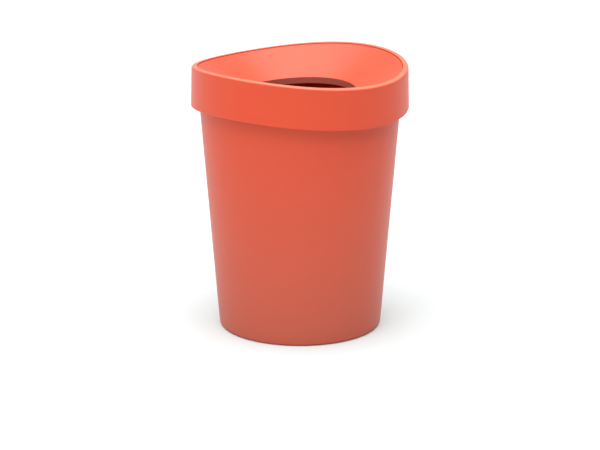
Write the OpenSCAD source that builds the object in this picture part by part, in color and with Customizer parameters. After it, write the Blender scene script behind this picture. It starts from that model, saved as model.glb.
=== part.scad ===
// Round plastic waste bin: a tapered container, a wave-topped collar that
// sits over its rim, and a dished insert with a round drop hole.

/* [Container] */
// Outside diameter where the bin stands on the floor
base_d = 240; // [180:5:320]
// Height of the container's rim above the floor
container_h = 362; // [240:2:480]
// Lean of the container wall from upright, degrees
wall_lean = 4.55; // [1:0.05:8]
// Thickness of the container wall
container_wall = 2.2; // [1.5:0.1:4]
// Thickness of the container floor
floor_t = 2.6; // [1.8:0.1:5]
// Height of the standing ring under the floor
foot_h = 3; // [1:0.5:10]
// Width of the standing ring, inward from the rounding
foot_w = 7; // [4:0.5:20]
// Rounding where the wall meets the floor, outside
base_round = 5; // [1:0.5:12]
// Width of the flange turned out at the rim
flange_w = 4.6; // [2:0.2:8]
// Depth of the flange's turned-down edge
flange_drop = 5; // [3:0.5:10]
// Thickness of the flange
flange_t = 2; // [1.2:0.1:3]

/* [Lid collar] */
// Mean height of the collar's top above the container's rim
lip_rise = 29; // [18:1:118]
// Mean height of the collar from lower edge to top
collar_h = 59.5; // [40:0.5:90]
// Rise and fall of the wavy top from its mean
wave_top = 7.25; // [0:0.25:15]
// Rise and fall of the wavy lower edge from its mean
wave_low = 6.5; // [0:0.25:15]
// Draft of the collar wall, degrees
collar_draft = 1.3; // [0.5:0.1:3]
// Thickness of the collar wall
collar_wall = 2.5; // [1.8:0.1:4]
// Width of the lip round the insert, seen from above
lip_w = 8.2; // [5:0.2:14]
// Rounding of the lip's outer edge
lip_round = 4; // [1:0.5:6]
// How far the insert's edge is set below the lip
insert_set = 2; // [0.5:0.25:5]
// Thickness of the ledge, the skirt and the shelf
rib_t = 2.2; // [1.6:0.1:3.5]
// How far the skirt plugs down inside the container's mouth
plug_h = 12; // [6:1:24]

/* [Lid insert] */
// Diameter of the drop hole
hole_d = 165; // [80:1:200]
// Depth of the hole's edge below the mean height of the lip
hole_drop = 37; // [12:1:45]
// How strongly the dish falls next to its rim, 1 is an even slope
dish_power = 1; // [1:0.1:5]
// Thickness of the insert
insert_t = 2.5; // [1.8:0.1:4]
// Length of the flange turned down round the hole
hole_flange = 9.6; // [4:0.2:20]

/* [Fits] */
// Gap between the container's flange and the collar wall's top
collar_gap = 1.59; // [0.5:0.01:44]
// Gap round the insert inside the lip
insert_gap = 0.5; // [0.3:0.05:1.5]
// Gap round the skirt inside the container's mouth
plug_gap = 0.8; // [0.4:0.1:2]
// Air left between faces that rest on each other
seat_gap = 0.1; // [0:0.05:0.3]

/* [Hidden] */
steps = 96;
arc_steps = 5;
dish_steps = 8;
bin_color = [0.85, 0.30, 0.20];
lid_color = [0.90, 0.34, 0.23];
insert_color = [0.93, 0.40, 0.29];

// Container radii
base_r = base_d / 2;
lean = tan(wall_lean);
wall_across = container_wall / cos(wall_lean);
function outer_r(z) = base_r + lean * z;
function inner_r(z) = outer_r(z) - wall_across;
floor_z = foot_h + floor_t;
foot_out = base_r - base_round;
foot_in = foot_out - foot_w;
flange_r = outer_r(container_h) + flange_w;
shelf_r = flange_r - flange_t;
foot_break = 1;
flange_break = 1;
mouth_break = 0.5;

// Collar radii and heights
inner_top_r = flange_r + collar_gap;
collar_r = inner_top_r + collar_wall;
lip_z = container_h + lip_rise;
draft = tan(collar_draft);
lip_in = collar_r - lip_w;
low_z = lip_z - collar_h;
low_r = collar_r + draft * collar_h;
inner_low_r = low_r - collar_wall;
edge_round = 1;
shelf_z = container_h + seat_gap;
plug_z = container_h - plug_h;
skirt_out = inner_r(container_h) - plug_gap;
plug_out = inner_r(plug_z) - plug_gap;
plug_in = plug_out - rib_t;
skirt_in = skirt_out - rib_t;
step_r = lip_in + rib_t;

// Insert radii
insert_r = lip_in - insert_gap;
hole_r = hole_d / 2;
rim_round = 0.6;
dish_r = insert_r - rim_round;
dish_top = lip_z - insert_set;
hole_z = lip_z - hole_drop;
dish_fall = dish_top - hole_z;
hole_round = 0.8;
flange_lean = 0.5;
flange_in = hole_r - flange_lean;
flange_out = flange_in + insert_t;
flange_low = hole_z - hole_flange;
dish_scale = dish_fall / (1 - pow(hole_r / dish_r, dish_power));

// The wave: two high points on the x axis, two low points on the y axis,
// growing with the square of the radius so the whole lid is one saddle.
// A point's rise and fall is what it would be at the collar's radius.
function wave(r, a, rise) = rise * pow(r / collar_r, 2) * cos(2 * a);

// Height of the dish's upper face at radius r, before the wave is added
function dish_z(r) = dish_top - dish_scale * (1 - pow(r / dish_r, dish_power));

// Height of its lower face, one wall thickness away square to the slope
function dish_slope(r) = dish_scale * dish_power * pow(r / dish_r, dish_power - 1) / dish_r;
function under_z(r) = dish_z(r) - insert_t * sqrt(1 + pow(dish_slope(r), 2));
function seat_z(r) = under_z(r) - seat_gap;

// Points on an arc: centre, radius, first and last angle, rise and fall
function arc_pts(r, z, rad, a0, a1, rise) =
    [for (i = [0 : arc_steps]) let (a = a0 + (a1 - a0) * i / arc_steps)
        [r + rad * cos(a), z + rad * sin(a), rise]];

// A closed ring from a profile of [radius, height, rise and fall].
// The profile runs anticlockwise with the radius to the right.
module wavy_ring(profile) {
    k = len(profile);
    pts = [for (i = [0 : steps - 1]) let (a = 360 * i / steps)
        for (p = profile)
            [p[0] * cos(a), p[0] * sin(a), p[1] + wave(p[0], a, p[2])]];
    faces = [for (i = [0 : steps - 1]) let (j = (i + 1) % steps)
        for (m = [0 : k - 1]) let (n = (m + 1) % k)
            each [[i * k + m, i * k + n, j * k + n], [i * k + m, j * k + n, j * k + m]]];
    polyhedron(points = pts, faces = faces, convexity = 8);
}

// Tapered shell with a standing ring below and a turned-out flange above
module container() {
    round_r = outer_r(base_round) - base_round / cos(wall_lean);
    color(bin_color)
    rotate_extrude($fn = 128)
    polygon(concat(
        [[0, foot_h],
         [foot_in, foot_h],
         [foot_in + foot_break, 0],
         [foot_out, 0]],
        [for (i = [1 : arc_steps]) let (a = -90 + (90 - wall_lean) * i / arc_steps)
            [round_r + base_round * cos(a), base_round + base_round * sin(a)]],
        [[outer_r(container_h - flange_t), container_h - flange_t],
         [shelf_r, container_h - flange_t],
         [shelf_r, container_h - flange_drop],
         [flange_r, container_h - flange_drop],
         [flange_r, container_h - flange_break],
         [flange_r - flange_break, container_h],
         [inner_r(container_h) + mouth_break, container_h],
         [inner_r(container_h - mouth_break), container_h - mouth_break],
         [inner_r(floor_z + base_round), floor_z + base_round],
         [inner_r(floor_z) - base_round, floor_z],
         [0, floor_z]]));
}

// Ring that drops over the container's rim, with the lip and the ledge
module lid_collar() {
    color(lid_color)
    wavy_ring(concat(
        arc_pts(low_r - edge_round, low_z + edge_round, edge_round, -90, 0, wave_low),
        arc_pts(collar_r - lip_round, lip_z - lip_round, lip_round, 0, 90, wave_top),
        arc_pts(lip_in + edge_round, lip_z - edge_round, edge_round, 90, 180, wave_top),
        [[lip_in, seat_z(lip_in), wave_top],
         [skirt_in, seat_z(skirt_in), wave_top],
         [skirt_in, shelf_z, 0],
         [plug_in, plug_z, 0],
         [plug_out, plug_z, 0],
         [skirt_out, shelf_z, 0],
         [shelf_r, shelf_z, 0],
         [shelf_r, shelf_z + rib_t, 0],
         [skirt_out, shelf_z + rib_t, 0],
         [skirt_out, seat_z(skirt_out) - rib_t, wave_top],
         [step_r, seat_z(step_r) - rib_t, wave_top],
         [step_r, lip_z - collar_wall, wave_top],
         [inner_top_r, lip_z - collar_wall, wave_top],
         [inner_low_r, low_z, wave_low]]));
}

// Dished ring that rests on the ledge, its hole finished by a flange
module lid_insert() {
    color(insert_color)
    wavy_ring(concat(
        [[insert_r, under_z(insert_r), wave_top],
         [insert_r, dish_top - rim_round, wave_top]],
        [for (i = [0 : dish_steps])
            let (r = dish_r + (hole_r + hole_round - dish_r) * i / dish_steps)
            [r, dish_z(r), wave_top]],
        [[hole_r, hole_z - hole_round, wave_top],
         [flange_in, flange_low, wave_top],
         [flange_out, flange_low, wave_top]],
        [for (i = [dish_steps : -1 : 1])
            let (r = insert_r + (flange_out - insert_r) * i / dish_steps)
            [r, under_z(r), wave_top]]));
}

container();
lid_collar();
lid_insert();
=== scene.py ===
import math

import bpy
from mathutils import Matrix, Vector


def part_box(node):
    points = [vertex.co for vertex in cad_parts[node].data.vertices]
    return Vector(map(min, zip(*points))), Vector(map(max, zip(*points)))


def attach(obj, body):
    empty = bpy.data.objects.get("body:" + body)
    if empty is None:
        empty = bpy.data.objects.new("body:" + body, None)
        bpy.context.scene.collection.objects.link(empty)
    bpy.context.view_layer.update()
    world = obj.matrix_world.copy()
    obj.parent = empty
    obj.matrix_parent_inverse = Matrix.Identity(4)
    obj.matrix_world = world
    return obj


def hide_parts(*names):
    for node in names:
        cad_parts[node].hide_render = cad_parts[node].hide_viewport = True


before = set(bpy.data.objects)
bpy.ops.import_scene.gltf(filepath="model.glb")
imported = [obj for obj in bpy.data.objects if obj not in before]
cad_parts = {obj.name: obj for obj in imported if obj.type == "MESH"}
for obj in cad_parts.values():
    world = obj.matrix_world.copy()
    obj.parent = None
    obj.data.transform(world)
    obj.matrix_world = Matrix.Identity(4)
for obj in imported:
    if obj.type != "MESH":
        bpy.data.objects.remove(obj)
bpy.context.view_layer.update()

# ---- Container ---------------------------------------------------------------------
# The bin itself: one polypropylene injection moulding, tapered so that it leaves its
# mould. It stands on a ring under its floor, and a flange turned out at the rim
# stiffens the mouth and carries the lid.

rim_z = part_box("container")[1].z
flange_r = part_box("container")[1].x
base_r = 0.120
wall_lean = math.tan(math.radians(4.55))
wall_t = 0.0022
flange_t = 0.0020
flange_drop = 0.0050
ring_h = 0.0030
ring_in = 0.109
floor_z = 0.0056
gate_r = 0.006
gate_h = 0.0008


def wall_r(z):
    """Outside radius of the container's wall at height z."""
    return base_r + wall_lean * z


def rounded(corners, steps=6):
    """Corners of (radius, height, share of the wave, rounding) made into a smooth outline."""
    outline = []
    for i, (r, z, share, rounding) in enumerate(corners):
        if rounding == 0:
            outline.append((r, z, share))
            continue
        corner = Vector((r, z))
        before = Vector(corners[i - 1][:2]) - corner
        after = Vector(corners[(i + 1) % len(corners)][:2]) - corner
        reach = rounding / math.tan(before.angle(after) / 2)
        start = corner + before.normalized() * min(reach, before.length * 0.49)
        end = corner + after.normalized() * min(reach, after.length * 0.49)
        for k in range(steps + 1):
            t = k / steps
            point = start * (1 - t) ** 2 + corner * 2 * t * (1 - t) + end * t ** 2
            outline.append((point.x, point.y, share))
    return outline


def spun(name, outline, wave=None, closed=False, turns=240):
    """A piece spun from its outline about the bin's axis, its height following the lid's wave."""
    corners, rows = [], []
    for r, z, share in outline:
        if r < 1e-6:
            rows.append([len(corners)] * turns)
            corners.append((0, 0, z))
            continue
        rows.append([])
        for i in range(turns):
            a = 2 * math.pi * i / turns
            rows[-1].append(len(corners))
            lift = share * wave(r, a) if wave else 0
            corners.append((r * math.cos(a), r * math.sin(a), z + lift))
    faces = []
    for k in range(len(rows) if closed else len(rows) - 1):
        low, high = rows[k], rows[(k + 1) % len(rows)]
        for i in range(turns):
            j = (i + 1) % turns
            face = [low[i], low[j], high[j], high[i]]
            faces.append([v for n, v in enumerate(face) if v not in face[:n]])
    mesh = bpy.data.meshes.new(name)
    mesh.from_pydata(corners, [], faces)
    mesh.update()
    mesh.shade_smooth()
    piece = bpy.data.objects.new(name, mesh)
    bpy.context.collection.objects.link(piece)
    even = piece.modifiers.new("even_normals", "WEIGHTED_NORMAL")
    even.keep_sharp = False
    return piece


def linear(hex_colour):
    """An sRGB hex colour as linear RGBA."""
    parts = [int(hex_colour[i:i + 2], 16) / 255 for i in (1, 3, 5)]
    return [c / 12.92 if c <= 0.04045 else ((c + 0.055) / 1.055) ** 2.4 for c in parts] + [1]


def add(tree, kind, settings=None, links=None):
    """One node, with its settings by attribute or socket name and its links by socket."""
    made = tree.nodes.new(kind)
    for key, value in (settings or {}).items():
        if hasattr(made, key):
            setattr(made, key, value)
        else:
            made.inputs[key].default_value = value
    for key, source in (links or {}).items():
        tree.links.new(source, made.inputs[key])
    return made


def satin_polypropylene(name, colour, deep, roughness, drag, floor_shade_top=0.0, slope_paint=None):
    """Moulded polypropylene: a soft satin skin over a slightly cloudy body, so highlights
    spread wide and edges stay gentle. Painted shade and painted highlight change its colour, not its
    shape."""
    material = bpy.data.materials.new(name)
    material.use_nodes = True
    tree = material.node_tree
    tree.nodes.clear()
    place = add(tree, "ShaderNodeTexCoord").outputs["Object"]
    # Pigment never mixes quite evenly: clouds about 70 mm across
    clouds = add(tree, "ShaderNodeTexNoise", {"Scale": 1 / 0.07, "Detail": 2.0},
                 {"Vector": place})
    tint = add(tree, "ShaderNodeMix", {"data_type": "RGBA"}, {"Factor": clouds.outputs["Fac"]})
    tint.inputs["A"].default_value = linear(colour)
    tint.inputs["B"].default_value = linear(deep)
    skin_colour = tint.outputs["Result"]
    if floor_shade_top > 0:
        # Painted shade: the lower wall is painted darker and greyer, fading out with height, standing in
        # for the light falling off towards the floor
        height = add(tree, "ShaderNodeSeparateXYZ", None, {"Vector": place})
        fade = add(tree, "ShaderNodeMapRange", {"From Min": floor_shade_top, "From Max": 0.02},
                   {"Value": height.outputs["Z"]})
        floor_shaded = add(tree, "ShaderNodeMix", {"data_type": "RGBA"}, {"Factor": fade.outputs["Result"]})
        tree.links.new(skin_colour, floor_shaded.inputs["A"])
        floor_shaded.inputs["B"].default_value = linear("#c05843")
        skin_colour = floor_shaded.outputs["Result"]
    if slope_paint:
        # Painted light and shade: the colour changes where the surface turns up or down past a given slope
        painted_colour, slope_none, slope_full = slope_paint
        facing = add(tree, "ShaderNodeSeparateXYZ", None,
                     {"Vector": add(tree, "ShaderNodeTexCoord").outputs["Normal"]})
        slope_mask = add(tree, "ShaderNodeMapRange", {"From Min": slope_none, "From Max": slope_full},
                     {"Value": facing.outputs["Z"]})
        changed = add(tree, "ShaderNodeMix", {"data_type": "RGBA"}, {"Factor": slope_mask.outputs["Result"]})
        tree.links.new(skin_colour, changed.inputs["A"])
        changed.inputs["B"].default_value = linear(painted_colour)
        skin_colour = changed.outputs["Result"]
    # Faint drag lines along the draw of the mould, 3 mm apart and 150 mm long
    stretch = add(tree, "ShaderNodeMapping", {"Scale": (1 / 0.003, 1 / 0.003, 1 / 0.15)},
                  {"Vector": place})
    drawn = add(tree, "ShaderNodeTexNoise", {"Scale": 1.0, "Detail": 1.0},
                {"Vector": stretch.outputs["Vector"]})
    gloss = add(tree, "ShaderNodeMapRange", {"To Min": roughness - drag, "To Max": roughness + drag},
                {"Value": drawn.outputs["Fac"]})
    # The mould's spark-eroded grain is about 0.1 mm; it is drawn at 0.9 mm so that it shows
    grain = add(tree, "ShaderNodeTexNoise", {"Scale": 1 / 0.0009, "Detail": 2.0},
                {"Vector": place})
    skin = add(tree, "ShaderNodeBump", {"Strength": 0.12, "Distance": 0.00005},
               {"Height": grain.outputs["Fac"]})
    # Thin walls cool unevenly and end up a few hundredths of a millimetre out of true
    warp = add(tree, "ShaderNodeTexNoise", {"Scale": 1 / 0.11, "Detail": 1.0}, {"Vector": place})
    wall = add(tree, "ShaderNodeBump", {"Strength": 0.3, "Distance": 0.0012},
               {"Height": warp.outputs["Fac"], "Normal": skin.outputs["Normal"]})
    shader = add(tree, "ShaderNodeBsdfPrincipled",
                 {"IOR": 1.49, "Specular IOR Level": 0.30, "Subsurface Weight": 0.05,
                  "Subsurface Scale": 0.001, "Subsurface Radius": (1.0, 0.35, 0.2)},
                 {"Base Color": skin_colour, "Roughness": gloss.outputs["Result"],
                  "Normal": wall.outputs["Normal"]})
    add(tree, "ShaderNodeOutputMaterial", None, {"Surface": shader.outputs["BSDF"]})
    return material


container = spun("container_body", rounded([
    (0, ring_h + gate_h, 0, 0),
    (gate_r, ring_h + gate_h, 0, 0.0004),
    (gate_r + gate_h, ring_h, 0, 0.0004),
    (ring_in - 0.0015, ring_h, 0, 0.0015),
    (ring_in, 0, 0, 0.0010),
    (wall_r(0) - 0.0004, 0, 0, 0.0050),
    (wall_r(0.02), 0.02, 0, 0),
    (wall_r(rim_z - flange_t), rim_z - flange_t, 0, 0.0010),
    (flange_r - flange_t, rim_z - flange_t, 0, 0.0006),
    (flange_r - flange_t, rim_z - flange_drop, 0, 0.0004),
    (flange_r, rim_z - flange_drop, 0, 0.0006),
    (flange_r, rim_z, 0, 0.0016),
    (wall_r(rim_z) - wall_t, rim_z, 0, 0.0008),
    (wall_r(floor_z) - wall_t, floor_z, 0, 0.0060),
    (gate_r, floor_z, 0, 0.0004),
    (0, floor_z, 0, 0)]))
# Painted shade: the lower wall's colour darkens towards the floor
container.data.materials.append(
    satin_polypropylene("satin_polypropylene_container", "#d94e31", "#d4492d", 0.42, 0.05, floor_shade_top=0.32))
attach(container, "container")
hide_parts("container")

# ---- Lid collar --------------------------------------------------------------------
# A deep ring, moulded in the same polypropylene, that drops over the container's rim
# and hides the folded edge of a bag. Its top and bottom edges follow one saddle-shaped
# wave; a skirt plugs into the mouth and a shelf on it rests on the rim.

lip_mean_z = 0.39098
lip_r = 0.157498
collar_h = 0.0595
low_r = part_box("lid_collar")[1].x
low_z = lip_mean_z - collar_h
wave_top = 0.00725
wave_low = 0.0065
low_share = wave_low / wave_top
collar_t = 0.0025
lip_w = 0.0082
lip_round = 0.0040
step_t = 0.0022
insert_set = 0.0020
lip_in = lip_r - lip_w
seat_drop = 0.00435
seat_fall = 0.00303
skirt_r = 0.1458
skirt_low_z = rim_z - 0.012
shelf_z = rim_z + 0.0001


def saddle(r, a):
    """Height of the lid's wave: high points on the x axis, low points on the y axis."""
    return wave_top * (r / lip_r) ** 2 * math.cos(2 * a)


collar = spun("lid_collar_ring", rounded([
    (low_r, low_z, low_share, 0.0009),
    (lip_r, lip_mean_z, 1, lip_round),
    (lip_in, lip_mean_z, 1, 0.0010),
    (lip_in, lip_mean_z - seat_drop, 1, 0),
    (skirt_r - step_t, lip_mean_z - seat_drop - seat_fall, 1, 0),
    (skirt_r - step_t, shelf_z, 0, 0),
    (skirt_r - step_t - 0.0010, skirt_low_z, 0, 0.0006),
    (skirt_r - 0.0010, skirt_low_z, 0, 0.0006),
    (skirt_r, shelf_z, 0, 0),
    (flange_r - flange_t, shelf_z, 0, 0.0004),
    (flange_r - flange_t, shelf_z + step_t, 0, 0.0004),
    (skirt_r, shelf_z + step_t, 0, 0),
    (skirt_r, lip_mean_z - seat_drop - seat_fall - step_t, 1, 0),
    (lip_in + step_t, lip_mean_z - seat_drop - step_t, 1, 0),
    (lip_in + step_t, lip_mean_z - collar_t, 1, 0),
    (lip_r - collar_t, lip_mean_z - collar_t, 1, 0.0005),
    (low_r - collar_t, low_z, low_share, 0.0009)]), saddle, closed=True)
# Painted highlight: the lip's up-facing top is painted paler, standing in for the light on it
collar.data.materials.append(
    satin_polypropylene("satin_polypropylene_collar", "#d94e31", "#d4492d", 0.40, 0.04,
                        slope_paint=("#e8785f", 0.25, 0.80)))
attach(collar, "collar")
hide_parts("lid_collar")

# ---- Lid insert --------------------------------------------------------------------
# A dished ring that drops into the lip and lies on the collar's ledge. It slopes evenly
# down to the drop hole, whose edge is finished by a flange turned straight down.

insert_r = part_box("lid_insert")[1].x
hole_r = 0.0825
dish_top = lip_mean_z - insert_set
hole_z = lip_mean_z - 0.037
insert_t = 0.0025
hole_flange = 0.0096
rim_round = 0.0006
dish_r = insert_r - rim_round
dish_slope = (dish_top - hole_z) / (dish_r - hole_r)
under = insert_t * math.sqrt(1 + dish_slope ** 2)


def dish(r):
    """Height of the dish's upper face at radius r, before the wave."""
    return dish_top - dish_slope * (dish_r - r)


bands = [hole_r + (insert_r - hole_r) * k / 10 for k in range(1, 10)]
insert = spun("lid_insert_dish", rounded(
    [(insert_r, dish_top, 1, rim_round), (dish_r, dish_top, 1, 0)]
    + [(r, dish(r), 1, 0) for r in reversed(bands)]
    + [(hole_r, hole_z, 1, 0.0009),
       (hole_r - 0.0005, hole_z - hole_flange, 1, 0.0007),
       (hole_r - 0.0005 + insert_t, hole_z - hole_flange, 1, 0.0007),
       (hole_r + insert_t, dish(hole_r + insert_t) - under, 1, 0.0010)]
    + [(r, dish(r) - under, 1, 0) for r in bands]
    + [(insert_r, dish(insert_r) - under, 1, 0.0004)]), saddle, closed=True)
# Painted light and shade: the insert's polypropylene is painted a shade lighter than the collar's,
# standing in for the stronger light on the dish, and the throat of the hole and the underside are painted
# darker, standing in for the shade in the recess
insert.data.materials.append(
    satin_polypropylene("satin_polypropylene_insert", "#da583e", "#d65339", 0.40, 0.03,
                        slope_paint=("#a85a4c", 0.60, 0.20)))
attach(insert, "insert")
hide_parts("lid_insert")

# ---- Studio ------------------------------------------------------------------------
# A pale, slightly cool paper floor in a dim room: a broad overhead light, a softbox high
# to the left of the camera and a wide panel behind the bin.

paper = bpy.data.materials.new("matt_cool_white_paper")
paper.use_nodes = True
tree = paper.node_tree
tree.nodes.clear()
# Paper's tooth, about 1 mm
tooth = add(tree, "ShaderNodeTexNoise", {"Scale": 1 / 0.001, "Detail": 2.0},
            {"Vector": add(tree, "ShaderNodeTexCoord").outputs["Object"]})
relief = add(tree, "ShaderNodeBump", {"Strength": 0.1, "Distance": 0.0001},
             {"Height": tooth.outputs["Fac"]})
sheet = add(tree, "ShaderNodeBsdfPrincipled",
            {"Base Color": linear("#cfd6d6"), "Roughness": 0.9, "Specular IOR Level": 0.1},
            {"Normal": relief.outputs["Normal"]})
add(tree, "ShaderNodeOutputMaterial", None, {"Surface": sheet.outputs["BSDF"]})

reach = 12.0
ground = bpy.data.meshes.new("studio_floor")
ground.from_pydata([(-reach, -reach, 0), (reach, -reach, 0), (reach, reach, 0),
                    (-reach, reach, 0)], [], [(0, 1, 2, 3)])
ground.materials.append(paper)
floor = bpy.data.objects.new("studio_floor", ground)
bpy.context.collection.objects.link(floor)

room = bpy.data.worlds.new("dim_room")
bpy.context.scene.world = room
room.use_nodes = True
room.node_tree.nodes["Background"].inputs["Color"].default_value = (1, 1, 1, 1)
room.node_tree.nodes["Background"].inputs["Strength"].default_value = 0.10

camera_bearing = math.radians(-137.1)
camera_reach = 20 * lip_r
camera_z = 6.711 * lip_r
camera_dip = 0.2808

# A broad overhead light that reaches every part of the floor evenly
sky = bpy.data.lights.new("overhead_diffuser", "SUN")
sky.energy = 5.7
sky.angle = math.radians(85)
sky_stand = bpy.data.objects.new("overhead_diffuser", sky)
bpy.context.collection.objects.link(sky_stand)
sky_stand.rotation_euler = (0, math.radians(7), math.radians(-150))

# A high softbox to the left of the camera: the wall fades gently towards the floor
side = bpy.data.lights.new("high_side_softbox", "AREA")
side.shape = "RECTANGLE"
side.size = 0.6
side.size_y = 0.5
side.energy = 2.0
side_stand = bpy.data.objects.new("high_side_softbox", side)
bpy.context.collection.objects.link(side_stand)
side_bearing = math.radians(-168)
side_reach = 1.1
side_stand.location = (side_reach * math.cos(side_bearing), side_reach * math.sin(side_bearing), 0.75)
side_stand.rotation_mode = "QUATERNION"
side_stand.rotation_quaternion = (Vector((0, 0, 0.25)) - side_stand.location).to_track_quat("-Z", "Y")
side_stand.visible_glossy = False

# A wide panel behind the bin gives the dish its sheen
panel = bpy.data.lights.new("rear_panel", "AREA")
panel.shape = "RECTANGLE"
panel.size = 4.0
panel.size_y = 1.0
panel.energy = 5.5
panel_stand = bpy.data.objects.new("rear_panel", panel)
bpy.context.collection.objects.link(panel_stand)
panel_bearing = camera_bearing + math.pi
panel_reach = 2.0
panel_stand.location = (panel_reach * math.cos(panel_bearing), panel_reach * math.sin(panel_bearing), 0.95)
panel_stand.rotation_mode = "QUATERNION"
panel_stand.rotation_quaternion = (Vector((0, 0, 0.35)) - panel_stand.location).to_track_quat("-Z", "Y")

lens = bpy.data.cameras.new("camera")
lens.sensor_width = 36
lens.lens = 132.8
lens.clip_end = 100
camera = bpy.data.objects.new("camera", lens)
bpy.context.collection.objects.link(camera)
camera.location = (camera_reach * math.cos(camera_bearing),
                   camera_reach * math.sin(camera_bearing), camera_z)
camera.rotation_euler = (math.pi / 2 - camera_dip, 0, camera_bearing + math.pi / 2)
bpy.context.scene.camera = camera
bpy.context.scene.view_settings.view_transform = "Standard"
